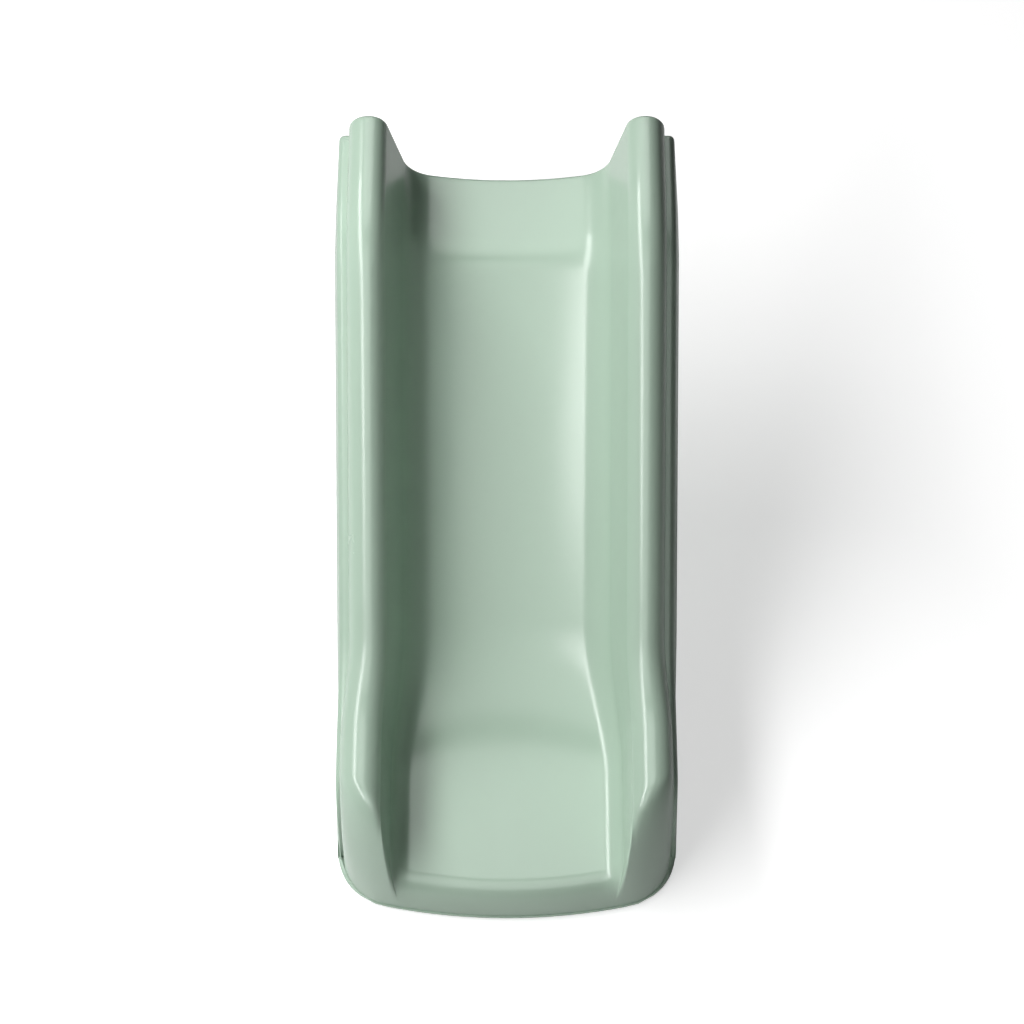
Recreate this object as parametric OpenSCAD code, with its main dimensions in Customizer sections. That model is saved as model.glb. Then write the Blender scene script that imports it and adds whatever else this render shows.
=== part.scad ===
// Straight toddler slide: a two-shell moulded chute that bolts to a deck at the top
// and rests on the ground at the foot.
// +Z is up, +Y points back to the deck, X is across.
// The origin is the centre of the deck bolts, on the rear face.

/* [Height and run] */
// Height of the deck end's sliding surface above the ground
deck_h = 453; // [420:1:530]
// Height of the sliding surface above the ground at the exit
exit_h = 66; // [55:1:85]
// Angle of the sliding surface below the horizontal
slope_angle = 38; // [32:1:43]
// Level length from the rear face to the start of the crest
platform_len = 100; // [84:1:140]
// Bend radius of the sliding surface at the crest
crest_r = 75; // [68:1:110]
// Bend radius of the sliding surface at the exit
exit_r = 338; // [280:2:410]
// Level length from the end of the exit bend to the front
exit_len = 180; // [175:1:230]

/* [Channel] */
// Width over the outer faces of the two rims
rim_outer_w = 428; // [350:1:520]
// Height of the rims above the middle of the sliding surface
rim_h = 148; // [125:1:178]
// Radius of the rolled top of each rim
rim_r = 26.5; // [20:0.5:32]
// Lean of the channel's side walls from the vertical, on the slope
wall_lean = 14; // [10:1:20]
// Lean of the side walls at the exit
exit_wall_lean = 6; // [4:1:12]
// Radius between side wall and sliding surface, on the slope
fillet_r = 50; // [30:1:60]
// The same radius at the exit
exit_fillet_r = 30; // [18:1:36]
// Radius of the sliding surface's hollow across its width
dish_r = 480; // [420:10:1200]
// The same radius at the exit
exit_dish_r = 2400; // [1500:100:4000]
// Extra width at the foot, as a share of the width
foot_flare = 0.045; // [0:0.005:0.06]

/* [Foot] */
// Radius of the front edge in plan
front_arc_r = 790; // [700:10:1200]
// Radius of the two front corners in plan
corner_r = 72; // [45:1:80]
// Length over which the sliding surface rolls down at the front
lip_run = 34; // [24:1:44]
// Length over which a rim's nose falls at the front
nose_run = 70; // [50:1:76]
// Roundness of the nose: 1 is an ellipse, less is fuller
nose_power = 0.94; // [0.7:0.02:1]
// Length over which the lower moulding's floor curls up at the front
curl_run = 14; // [10:1:20]
// Direction on the foot's plan where the lower moulding's flat floor ends, 0 forwards and 90 sideways
floor_g = 40; // [30:1:50]
// How far the inner faces of the rims' noses spread inwards as they fall
nose_spread = 14; // [4:1:18]
// Height of the seam above the ground at the front
foot_seam_h = 13; // [10:1:18]

/* [Shells] */
// Wall of the upper moulding
shell_t = 4; // [3:0.5:5]
// Wall of the lower moulding
base_t = 5; // [4:0.5:6]
// Depth of the seam below the top of the rims
seam_drop = 44; // [38:1:60]
// Draft of the rims' outer faces
rim_draft = 2; // [1:0.5:4]
// How far the lower moulding's shoulder stands out past the seam
shoulder_out = 14; // [9:0.5:17]
// The same at the exit
exit_shoulder_out = 6; // [5.5:0.5:9]
// Radius of that shoulder
shoulder_r = 8.5; // [8:0.5:10]
// Width of the ledge that carries the upper moulding's edge
ledge_w = 9; // [7:0.5:11]
// Step by which the lower moulding stands out round the foot
seam_step = 3; // [2:0.5:3.5]
// Extra width of the lower moulding's ledge round the foot, past its wall
foot_lap = 1.5; // [1:0.1:2.5]
// Gap left at the seam
seam_gap = 0.6; // [0.5:0.1:0.9]
// Draft of the lower moulding's sides
base_draft = 4; // [2:0.5:7]
// The same at the exit
exit_base_draft = 1; // [0.5:0.5:4]
// Radius along the lower moulding's bottom edges
base_edge_r = 18; // [12:1:24]
// The same at the exit
exit_edge_r = 10; // [6:0.5:12]
// Depth of the body below the sliding surface at the rear face
rear_depth = 86; // [80:1:100]
// The same depth at the crest
crest_depth = 58; // [50:1:62]
// The same depth on the slope
slope_depth = 48; // [40:1:56]
// Radius of the mouldings' rear edges
rear_edge_r = 6; // [5:0.5:7]
// Turned-in lip of the upper moulding at the rear, past that radius
rear_lip = 8; // [5:1:9]

/* [Formers and bulkhead] */
// Thickness of a former
former_t = 12; // [9:1:15]
// Clearance between a former and the shells
former_fit = 0.5; // [0.3:0.1:0.7]
// Distance of the platform former from the rear face
platform_former_in = 72; // [60:1:78]
// Distance of the exit former past the end of the exit bend
exit_former_in = 8; // [2:1:10]
// Thickness of the rear bulkhead
bulkhead_t = 20; // [18:1:24]
// Clearance round the rear bulkhead
bulkhead_fit = 0.3; // [0.2:0.1:0.5]

/* [Deck bolts] */
// Distance between the bolts across the slide
bolt_dx = 300; // [240:5:320]
// Distance between the two rows of bolts
bolt_dz = 34; // [30:1:36]
// Depth of the bolt pattern's centre below the sliding surface
bolt_drop = 47; // [44:1:52]
// Bore radius of a threaded insert
insert_bore_r = 4; // [3:0.5:5]
// Outer radius of an insert
insert_r = 6.5; // [5.5:0.5:8]
// Length of an insert
insert_len = 16; // [12:1:18]
// Clearance round an insert
insert_fit = 0.05; // [0.02:0.01:0.1]

/* [Screws and feet] */
// Shank radius of a wood screw
screw_r = 2.2; // [1.8:0.1:2.6]
// Head radius of a screw
screw_head_r = 4.6; // [4:0.1:5.2]
// Length of a screw
screw_len = 28; // [22:1:30]
// Clearance round a screw in a shell
screw_fit = 0.3; // [0.1:0.1:0.5]
// Clearance round a screw in a former or bulkhead
pilot_fit = 0.05; // [0.02:0.01:0.1]
// Depth of a screw's head under the face it sits in
screw_sink = 0.3; // [0.1:0.1:0.6]
// Height of the side screws above the seam
side_rise = 9; // [7:0.5:14]
// Distance of the floor screws from the middle
screw_x = 105; // [80:1:120]
// Thickness of a foot pad
pad_t = 3; // [2:0.5:5]
// Width of a foot pad, across the slide
pad_w = 120; // [90:1:140]
// Length of a foot pad, along the slide
pad_len = 40; // [30:1:50]
// Distance of a foot pad's middle from the slide's middle
pad_x = 125; // [100:1:140]
// Distance of the pads' middles behind the front
pad_in = 95; // [85:1:120]
// Radius of a pad's corners
pad_corner = 8; // [4:1:12]
// Distance between a pad's two push-in stems
stem_pitch = 72; // [50:1:90]
// Radius of a pad's push-in stem
stem_r = 4; // [3:0.5:5]
// Clearance round a stem
stem_fit = 0.1; // [0.05:0.05:0.2]
// How far a stem's barb stands out past its hole
barb_grip = 1.2; // [0.8:0.1:1.6]
// Height of the barb
barb_h = 3; // [2:0.5:4]

/* [Hidden] */
round_n = 36;
through = 1;

// ---- Side view: the line of the sliding surface, from the rear to the front ----
bed_drop = deck_h - exit_h;
deck_z = bolt_drop;
exit_z = deck_z - bed_drop;
ground_z = exit_z - exit_h;
slope_len = (bed_drop - (crest_r + exit_r) * (1 - cos(slope_angle))) / sin(slope_angle);
crest_arc = crest_r * slope_angle * PI / 180;
exit_arc = exit_r * slope_angle * PI / 180;
s_level = bulkhead_t;
s_crest = platform_len - rear_edge_r;
s_slope = s_crest + crest_arc;
s_bend = s_slope + slope_len;
s_exit = s_bend + exit_arc;
crest_y = -platform_len;
slope_y = crest_y - crest_r * sin(slope_angle);
bend_y = slope_y - slope_len * cos(slope_angle);
exit_y = bend_y - exit_r * sin(slope_angle);
front_y = exit_y - exit_len;

// Slope angle at the arc length s
function fall(s) = s < s_crest ? 0
    : s < s_slope ? (s - s_crest) / crest_r * 180 / PI
    : s < s_bend ? slope_angle
    : s < s_exit ? slope_angle - (s - s_bend) / exit_r * 180 / PI
    : 0;
// Point [y, z] of the sliding surface at the arc length s
function bed_at(s) = let (a = fall(s))
    s < s_crest ? [-rear_edge_r - s, deck_z]
    : s < s_slope ? [crest_y - crest_r * sin(a), deck_z - crest_r * (1 - cos(a))]
    : s < s_bend ? [slope_y - (s - s_slope) * cos(slope_angle),
        deck_z - crest_r * (1 - cos(slope_angle)) - (s - s_slope) * sin(slope_angle)]
    : s < s_exit ? [exit_y + exit_r * sin(a), exit_z + exit_r * (1 - cos(a))]
    : [exit_y - (s - s_exit), exit_z];
// A section's point [x, h] set square to the sliding surface at s
function place(s, p) = let (b = bed_at(s), a = fall(s)) [p[0], b[0] - p[1] * sin(a), b[1] + p[1] * cos(a)];

function lerp(a, b, t) = a + (b - a) * t;
function smooth(t) = let (c = max(0, min(1, t))) c * c * (3 - 2 * c);
// 0 on the slope, 1 at the exit
function exit_share(s) = smooth((s - s_bend) / (s_exit - s_bend));
function flare(s) = 1 + foot_flare * exit_share(s);
// Depth of the body below the sliding surface
function depth(s) = s < s_level ? rear_depth
    : s < s_crest ? lerp(rear_depth, crest_depth, (s - s_level) / (s_crest - s_level))
    : s < s_slope ? lerp(crest_depth, slope_depth, (s - s_crest) / crest_arc)
    : lerp(slope_depth, exit_h - pad_t, exit_share(s));

// ---- Sections: half outlines from the middle outwards ----
rim_x = rim_outer_w / 2 - rim_r;
rim_c = rim_h - rim_r;
seam_h = rim_h - seam_drop;
seam_x = rim_x + rim_r * cos(rim_draft) + (rim_c + rim_r * sin(rim_draft) - seam_h) * tan(rim_draft);
bed_n = 4;
fillet_n = 6;
wall_n = 2;
rim_n = 11;

// Upper moulding: [x, h, kind, share], kind 0 bed and fillet, 1 wall, 2 rim, 3 outer face
function upper_half(s) = let (
        e = exit_share(s),
        lean = lerp(wall_lean, exit_wall_lean, e),
        fr = lerp(fillet_r, exit_fillet_r, e),
        dr = 1 / lerp(1 / dish_r, 1 / exit_dish_r, e),
        top = [rim_x - rim_r * cos(lean), rim_c + rim_r * sin(lean)],
        reach = top[0] * cos(lean) - top[1] * sin(lean),
        a = asin((dr * sin(lean) + reach - fr) / (dr - fr)) - lean,
        c = [(dr - fr) * sin(a), dr - (dr - fr) * cos(a)],
        foot = c + fr * [cos(lean), -sin(lean)],
        f = flare(s))
    [
        for (i = [0 : bed_n]) let (t = a * i / bed_n) [f * dr * sin(t), dr * (1 - cos(t)), 0, 0],
        for (i = [1 : fillet_n]) let (t = lerp(a, 90 - lean, i / fillet_n))
            [f * (c[0] + fr * sin(t)), c[1] - fr * cos(t), 0, 0],
        for (i = [1 : wall_n - 1]) let (p = lerp(foot, top, i / wall_n)) [f * p[0], p[1], 1, i / wall_n],
        for (i = [0 : rim_n]) let (t = lerp(180 - lean, -rim_draft, i / rim_n))
            [f * (rim_x + rim_r * cos(t)), rim_c + rim_r * sin(t), 2, i / rim_n],
        [f * seam_x, seam_h, 3, 1]
    ];

base_n = 8;
edge_n = 5;
side_n = 3;
shoulder_n = 4;
// Lower moulding: kind 0 floor, 1 bottom edge, 2 side, 3 shoulder, 4 ledge under the upper moulding's edge
function lower_half(s) = let (
        k = depth(s),
        f = flare(s),
        e = exit_share(s),
        out = lerp(shoulder_out, exit_shoulder_out, e),
        draft = lerp(base_draft, exit_base_draft, e),
        h0 = seam_h - seam_gap,
        xs = seam_x + out - shoulder_r,
        hs = h0 - shoulder_r,
        x1 = xs + shoulder_r * cos(draft),
        h1 = hs + shoulder_r * sin(draft),
        r = lerp(base_edge_r, exit_edge_r, e),
        hw = -k + r + r * sin(draft),
        xc = x1 + (h1 - hw) * tan(draft) - r * cos(draft))
    [
        for (i = [0 : base_n]) [f * xc * i / base_n, -k, 0, i / base_n],
        for (i = [1 : edge_n]) let (t = lerp(-90, draft, i / edge_n))
            [f * (xc + r * cos(t)), -k + r + r * sin(t), 1, i / edge_n],
        for (i = [1 : side_n]) let (h = lerp(hw, h1, i / side_n))
            [f * (x1 + (h1 - h) * tan(draft)), h, 2, i / side_n],
        for (i = [1 : shoulder_n]) let (t = lerp(draft, 90, i / shoulder_n))
            [f * (xs + shoulder_r * cos(t)), hs + shoulder_r * sin(t), 3, i / shoulder_n],
        [f * (seam_x - ledge_w), h0, 4, 1]
    ];

// A half outline mirrored to the full width, left to right
function full(half) = concat(
    [for (i = [len(half) - 1 : -1 : 1]) [-half[i][0], half[i][1], half[i][2], half[i][3]]], half);

// ---- Plan of the foot: points by the direction g they face, 0 forwards and 90 sideways ----
foot_x = seam_x * (1 + foot_flare);
corner_x = foot_x - corner_r;
corner_g = asin(corner_x / (front_arc_r - corner_r));
corner_y = front_y + front_arc_r - (front_arc_r - corner_r) * cos(corner_g);
function foot_plan(g, out) = g < corner_g
    ? [(front_arc_r + out) * sin(g), front_y + front_arc_r - (front_arc_r + out) * cos(g)]
    : [corner_x + (corner_r + out) * sin(g), corner_y - (corner_r + out) * cos(g)];
seam_z = ground_z + foot_seam_h;

// Direction in which the foot's plan lies x from the middle
front_edge = front_arc_r * sin(corner_g);
function plan_g(x) = x < front_edge ? asin(x / front_arc_r) : asin((x - corner_x) / corner_r);

// Direction on the foot's plan that each point of a section runs down to
rim_g = 78;
side_g = 88;
shoulder_g = 89.5;
// The channel's inner corners spread from here outwards
spread_from = 0.7 * front_edge;
function nose_x(x) = x - nose_spread * smooth((x - spread_from) / (front_edge - spread_from));
floor_edge = corner_x + corner_r * sin(floor_g);
function upper_g(p) = p[2] < 2 ? plan_g(nose_x(min(p[0], front_edge)))
    : p[2] == 2 ? lerp(plan_g(front_edge - nose_spread), rim_g, p[3])
    : 90;
function lower_g(p) = p[2] == 0 ? plan_g(floor_edge * p[3])
    : p[2] == 1 ? lerp(floor_g, side_g, p[3])
    : p[2] == 2 ? lerp(side_g, shoulder_g, p[3])
    : p[2] == 3 ? lerp(shoulder_g, 90, p[3])
    : 90;

// Where the level run of a section's point ends, and the roll down to the foot's edge from there.
// The point at x leaves the level run at x0 and ends on the plan, run further forwards.
function nose(p, x0, e, run, z_end, shift, u) = let (
        t = 90 * u,
        fore = pow(sin(t), nose_power),
        drop = 1 - pow(cos(t), nose_power))
    [lerp(x0, e[0], 1 - cos(t)), e[1] + run * (1 - fore) + shift, lerp(exit_z + p[1], z_end, drop)];
function sided(x, e) = x < 0 ? [-e[0], e[1]] : e;
function mirror_g(p) = [abs(p[0]), p[1], p[2], p[3]];
function upper_nose(p, u) = let (
        e = sided(p[0], foot_plan(upper_g(mirror_g(p)), 0)),
        run = lerp(lip_run, nose_run, p[1] / rim_h))
    nose(p, p[0], e, run, seam_z, 0, u);
foot_ledge = base_t + foot_lap;
seam_run = lerp(lip_run, nose_run, seam_h / rim_h);
exit_depth = exit_h - pad_t;
// The floor has drawn in to the plan by the end of the level run
function lower_nose(p, u) = let (
        out = p[2] == 4 ? seam_step - foot_ledge : seam_step,
        e = sided(p[0], foot_plan(lower_g(mirror_g(p)), out)),
        x0 = p[2] == 0 ? e[0] : p[2] == 1 ? lerp(e[0], p[0], p[3]) : p[0],
        run = lerp(curl_run, seam_run, (p[1] + exit_depth) / (seam_h - seam_gap + exit_depth)))
    nose(p, x0, e, run, seam_z - seam_gap, seam_gap, u);

// ---- Stations along the slide ----
crest_n = 6;
slope_n = 3;
bend_n = 8;
level_n = 2;
foot_n = 4;
nose_n = 10;
stations = [
    0,
    s_level,
    (s_level + s_crest) / 2,
    for (i = [0 : crest_n - 1]) s_crest + crest_arc * i / crest_n,
    for (i = [0 : slope_n - 1]) s_slope + slope_len * i / slope_n,
    for (i = [0 : bend_n]) s_bend + exit_arc * i / bend_n
];
// Unit normals of an outline, to its left as it runs
function outline_normals(o) = [for (i = [0 : len(o) - 1])
    let (a = o[max(i - 1, 0)], b = o[min(i + 1, len(o) - 1)], d = [b[0] - a[0], b[1] - a[1]])
    [-d[1], d[0]] / norm(d)];
upper_end = full(upper_half(s_exit));
lower_end = full(lower_half(s_exit));

turn_n = 3;
rear_turn = [for (i = [turn_n : -1 : 1]) i / turn_n];
upper_rear = full(upper_half(0));
upper_rear_n = outline_normals(upper_rear);
upper_grid = concat(
    [[for (i = [0 : len(upper_rear) - 1])
        let (w = rear_edge_r + rear_lip, n = upper_rear_n[i], p = upper_rear[i])
        [p[0] - w * n[0], 0, deck_z + p[1] - w * n[1]]]],
    [for (u = rear_turn) [for (i = [0 : len(upper_rear) - 1])
        let (w = rear_edge_r * (1 - cos(90 * u)), n = upper_rear_n[i], p = upper_rear[i])
        [p[0] - w * n[0], -rear_edge_r + rear_edge_r * sin(90 * u), deck_z + p[1] - w * n[1]]]],
    [for (s = stations) [for (p = full(upper_half(s))) place(s, p)]],
    [for (u = [1 : level_n - 1]) [for (p = upper_end)
        [p[0], lerp(exit_y, upper_nose(p, 0)[1], u / level_n), exit_z + p[1]]]],
    [for (u = [0 : nose_n]) [for (p = upper_end) upper_nose(p, u / nose_n)]]
);
// The lower moulding keeps its section until it is past the exit former
foot_start = exit_y - exit_former_in - former_t - 2 * former_fit;
lower_rear = full(lower_half(0));
lower_rear_n = outline_normals(lower_rear);
lower_grid = concat(
    [for (u = rear_turn) [for (i = [0 : len(lower_rear) - 1])
        let (w = rear_edge_r * (1 - cos(90 * u)), n = lower_rear_n[i], p = lower_rear[i])
        [p[0] + w * n[0], -rear_edge_r + rear_edge_r * sin(90 * u), deck_z + p[1] + w * n[1]]]],
    [for (s = stations) [for (p = full(lower_half(s))) place(s, p)]],
    [for (i = [0 : foot_n - 1]) [for (p = lower_end) let (q = lower_nose(p, 0), u = i / foot_n)
        [lerp(p[0], q[0], smooth(u)), lerp(foot_start, q[1], u), exit_z + p[1]]]],
    [for (u = [0 : nose_n]) [for (p = lower_end) lower_nose(p, u / nose_n)]]
);

// ---- A sheet given as rows of points, thickened on its hidden side ----
function unit(v) = v / norm(v);
function sheet_normal(g, i, j) = let (
        m = len(g) - 1,
        n = len(g[0]) - 1,
        di = g[min(i + 1, m)][j] - g[max(i - 1, 0)][j],
        dj = g[i][min(j + 1, n)] - g[i][max(j - 1, 0)])
    unit(cross(di, dj));
// level_edge keeps the two side edges' thickness level, so that one sheet can sit on the other's ledge
function thickened(g, t, level_edge) = [for (i = [0 : len(g) - 1]) [for (j = [0 : len(g[0]) - 1])
    let (p = g[i][j] - t * sheet_normal(g, i, j))
    i == 0 ? g[i][j] - [0, abs(t), 0]
    : i == len(g) - 1 && (level_edge || (j > 0 && j < len(g[0]) - 1)) ? [p[0], p[1], g[i][j][2]]
    : level_edge && j == 0 ? g[i][j] + [abs(t), 0, 0]
    : level_edge && j == len(g[0]) - 1 ? g[i][j] - [abs(t), 0, 0]
    : p]];
module sheet(g, t, level_edge) {
    rows = len(g);
    cols = len(g[0]);
    count = rows * cols;
    inner = thickened(g, t, level_edge);
    points = concat([for (row = g) each row], [for (row = inner) each row]);
    function at(i, j) = i * cols + j;
    quads = concat(
        [for (i = [0 : rows - 2]) for (j = [0 : cols - 2])
            [at(i, j), at(i, j + 1), at(i + 1, j + 1), at(i + 1, j)]],
        [for (i = [0 : rows - 2]) for (j = [0 : cols - 2])
            [count + at(i, j), count + at(i + 1, j), count + at(i + 1, j + 1), count + at(i, j + 1)]],
        [for (j = [0 : cols - 2]) [at(0, j + 1), at(0, j), count + at(0, j), count + at(0, j + 1)]],
        [for (j = [0 : cols - 2])
            [at(rows - 1, j), at(rows - 1, j + 1), count + at(rows - 1, j + 1), count + at(rows - 1, j)]],
        [for (i = [0 : rows - 2]) [at(i, 0), at(i + 1, 0), count + at(i + 1, 0), count + at(i, 0)]],
        [for (i = [0 : rows - 2])
            [at(i + 1, cols - 1), at(i, cols - 1), count + at(i, cols - 1), count + at(i + 1, cols - 1)]]
    );
    faces = t > 0 ? [for (q = quads) each [[q[0], q[1], q[2]], [q[0], q[2], q[3]]]]
        : [for (q = quads) each [[q[2], q[1], q[0]], [q[3], q[2], q[0]]]];
    polyhedron(points, faces);
}

// ---- Boards that fill the section ----
// Outline between the two shells at s, kept in_up from the upper face, in_low from the lower one
// and clear of the ledge
function board_outline(s, in_up, in_low) = let (
        up = full(upper_half(s)),
        low = full(lower_half(s)),
        un = outline_normals(up),
        ln = outline_normals(low),
        m = len(up) - 1,
        n = len(low) - 1,
        notch = min(flare(s) * (seam_x - ledge_w) - former_fit, up[m][0] - in_up),
        top = seam_h + former_fit,
        under = low[n][1] - in_low)
    concat(
        [[-notch, top], [up[0][0] + in_up, top]],
        [for (i = [1 : m - 1]) [up[i][0] - in_up * un[i][0], up[i][1] - in_up * un[i][1]]],
        [[up[m][0] - in_up, top], [notch, top], [notch, under]],
        [for (i = [n - 1 : -1 : 1]) [low[i][0] + in_low * ln[i][0], low[i][1] + in_low * ln[i][1]]],
        [[-notch, under]]
    );
// Carries a child drawn in the section's plane (x, h) to the slide at s, its third axis forwards
module at_section(s) {
    b = bed_at(s);
    translate([0, b[0], b[1]]) rotate([90 + fall(s), 0, 0]) children();
}

// ---- Screws: axis -Z, head's face at z = 0 ----
screw_head_h = screw_head_r - screw_r;
module wood_screw(extra) {
    translate([0, 0, -screw_len])
        cylinder(h = screw_len - screw_head_h / 2, r = screw_r + extra, $fn = round_n);
    translate([0, 0, -screw_head_h])
        cylinder(h = screw_head_h, r1 = screw_r + extra, r2 = screw_head_r + extra, $fn = round_n);
}
// Its hole in a shell, open to the outside
module screw_hole() {
    wood_screw(screw_fit);
    translate([0, 0, -screw_head_h / 4])
        cylinder(h = screw_head_h / 4 + through, r = screw_head_r + screw_fit, $fn = round_n);
}

// Formers: where each stands along the slide
platform_s = platform_former_in - rear_edge_r;
slope_formers = 4;
function slope_s(i) = s_slope + slope_len * (i - 0.5) / slope_formers;
exit_s = s_exit + former_t / 2 + exit_former_in;
former_ss = [platform_s, slope_s(1), slope_s(2), slope_s(3), slope_s(4), exit_s];
// Those whose floor is level with the sliding surface take screws from below
floor_ss = [slope_s(1), slope_s(2), slope_s(3), slope_s(4), exit_s];
side_h = seam_h + side_rise;
// Places its children, as screws, at a board at s: through the rims' outer faces, or from below
module side_pair(s) {
    x = flare(s) * (seam_x - side_rise * tan(rim_draft)) - screw_sink;
    at_section(s) for (side = [-1, 1]) scale([side, 1, 1])
        translate([x, side_h, 0]) rotate([0, 90, rim_draft]) children();
}
module floor_pair(s) {
    at_section(s) for (side = [-1, 1])
        translate([side * screw_x, -depth(s) + screw_sink, 0]) rotate([90, 0, 0]) children();
}

module former(s) {
    tilt = s < s_crest ? atan((rear_depth - crest_depth) / (s_crest - s_level)) : 0;
    sink = former_t / 2 * tan(tilt) + base_t * (1 / cos(tilt) - 1);
    difference() {
        at_section(s) translate([0, 0, -former_t / 2]) linear_extrude(former_t)
            polygon(board_outline(s, shell_t + former_fit, base_t + former_fit + sink));
        side_pair(s) wood_screw(pilot_fit);
        if (s > s_crest) floor_pair(s) wood_screw(pilot_fit);
    }
}
module platform_former() color([0.84, 0.74, 0.56]) former(platform_s);
module slope_former(i) color([0.84, 0.74, 0.56]) former(slope_s(i));
module exit_former() color([0.84, 0.74, 0.56]) former(exit_s);

module at_bolts() for (x = [-bolt_dx / 2, bolt_dx / 2]) for (z = [-bolt_dz / 2, bolt_dz / 2])
    translate([x, 0, z]) rotate([90, 0, 0]) children();
bulkhead_screw_y = -(rear_edge_r + bulkhead_t) / 2;
module bulkhead_side() for (side = [-1, 1]) scale([side, 1, 1])
    translate([seam_x - side_rise * tan(rim_draft) - screw_sink, bulkhead_screw_y, deck_z + side_h])
        rotate([0, 90 - rim_draft, 0]) children();
module bulkhead_floor() for (x = [-screw_x, screw_x])
    translate([x, bulkhead_screw_y, deck_z - rear_depth + screw_sink]) rotate([180, 0, 0]) children();
// Board with a rebate that the turned rear edges of the two shells hook over
module rear_bulkhead() {
    rebate = rear_edge_r + bulkhead_fit;
    color([0.8, 0.7, 0.52]) difference() {
        rotate([90, 0, 0]) translate([0, deck_z]) {
            linear_extrude(bulkhead_t)
                polygon(board_outline(0, rear_edge_r + rear_lip + bulkhead_fit, rear_edge_r + bulkhead_fit));
            translate([0, 0, rebate]) linear_extrude(bulkhead_t - rebate)
                polygon(board_outline(0, shell_t + bulkhead_fit, base_t + bulkhead_fit));
        }
        at_bolts() translate([0, 0, -through])
            cylinder(h = insert_len + through, r = insert_r + insert_fit, $fn = round_n);
        bulkhead_floor() wood_screw(pilot_fit);
        bulkhead_side() wood_screw(pilot_fit);
    }
}
module deck_inserts() color([0.8, 0.65, 0.3]) at_bolts() difference() {
    cylinder(h = insert_len, r = insert_r, $fn = round_n);
    translate([0, 0, -through]) cylinder(h = insert_len + 2 * through, r = insert_bore_r, $fn = round_n);
}
module side_screws() color([0.7, 0.7, 0.72]) {
    for (s = former_ss) side_pair(s) wood_screw(0);
    bulkhead_side() wood_screw(0);
}
module floor_screws() color([0.7, 0.7, 0.72]) {
    for (s = floor_ss) floor_pair(s) wood_screw(0);
    bulkhead_floor() wood_screw(0);
}

// ---- Foot pads ----
pad_y = front_y + pad_in;
floor_z = ground_z + pad_t;
module at_stems() for (x = [pad_x - stem_pitch / 2, pad_x + stem_pitch / 2])
    translate([x, pad_y, floor_z]) children();
module foot_pad() {
    translate([pad_x, pad_y, ground_z]) linear_extrude(pad_t) {
        square([pad_w - 2 * pad_corner, pad_len], center = true);
        square([pad_w, pad_len - 2 * pad_corner], center = true);
        for (x = [-1, 1]) for (y = [-1, 1])
            translate([x * (pad_w / 2 - pad_corner), y * (pad_len / 2 - pad_corner)])
                circle(r = pad_corner, $fn = round_n);
    }
    at_stems() {
        translate([0, 0, -pad_t / 2]) cylinder(h = pad_t / 2 + base_t + barb_h, r = stem_r, $fn = round_n);
        translate([0, 0, base_t + stem_fit])
            cylinder(h = barb_h, r1 = stem_r + barb_grip, r2 = stem_r, $fn = round_n);
    }
}

module chute_shell() {
    color([0.56, 0.68, 0.6]) difference() {
        sheet(upper_grid, shell_t, true);
        for (s = former_ss) side_pair(s) screw_hole();
        bulkhead_side() screw_hole();
    }
}
module under_shell() {
    color([0.5, 0.62, 0.54]) difference() {
        sheet(lower_grid, -base_t, false);
        for (s = floor_ss) floor_pair(s) screw_hole();
        bulkhead_floor() screw_hole();
        for (side = [-1, 1]) scale([side, 1, 1]) at_stems() translate([0, 0, -through])
            cylinder(h = base_t + 2 * through, r = stem_r + stem_fit, $fn = round_n);
    }
}

chute_shell();
under_shell();
platform_former();
slope_former(1);  // slope_former_1
slope_former(2);  // slope_former_2
slope_former(3);  // slope_former_3
slope_former(4);  // slope_former_4
exit_former();
rear_bulkhead();
deck_inserts();
side_screws();
floor_screws();
color([0.2, 0.2, 0.2]) scale([-1, 1, 1]) foot_pad();  // foot_pad_left
color([0.2, 0.2, 0.2]) foot_pad();  // foot_pad_right
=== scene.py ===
"""Looks for the straight slide: moulded shells, boards, inserts, screws, pads and the studio round them."""
import math

import bmesh
import bpy
import numpy as np
from mathutils import Matrix, Vector


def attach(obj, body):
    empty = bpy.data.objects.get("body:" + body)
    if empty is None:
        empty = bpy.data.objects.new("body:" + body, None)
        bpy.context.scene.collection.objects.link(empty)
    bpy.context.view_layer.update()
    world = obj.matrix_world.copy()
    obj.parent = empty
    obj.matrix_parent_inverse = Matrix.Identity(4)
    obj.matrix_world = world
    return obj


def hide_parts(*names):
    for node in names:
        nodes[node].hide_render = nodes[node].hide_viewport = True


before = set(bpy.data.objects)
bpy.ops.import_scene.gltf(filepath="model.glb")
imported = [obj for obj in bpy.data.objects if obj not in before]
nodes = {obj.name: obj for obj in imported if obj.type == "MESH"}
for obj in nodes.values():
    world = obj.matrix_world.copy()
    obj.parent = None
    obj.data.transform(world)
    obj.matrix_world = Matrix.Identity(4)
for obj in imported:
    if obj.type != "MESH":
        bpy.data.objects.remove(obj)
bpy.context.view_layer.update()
MM = 0.001

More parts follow.
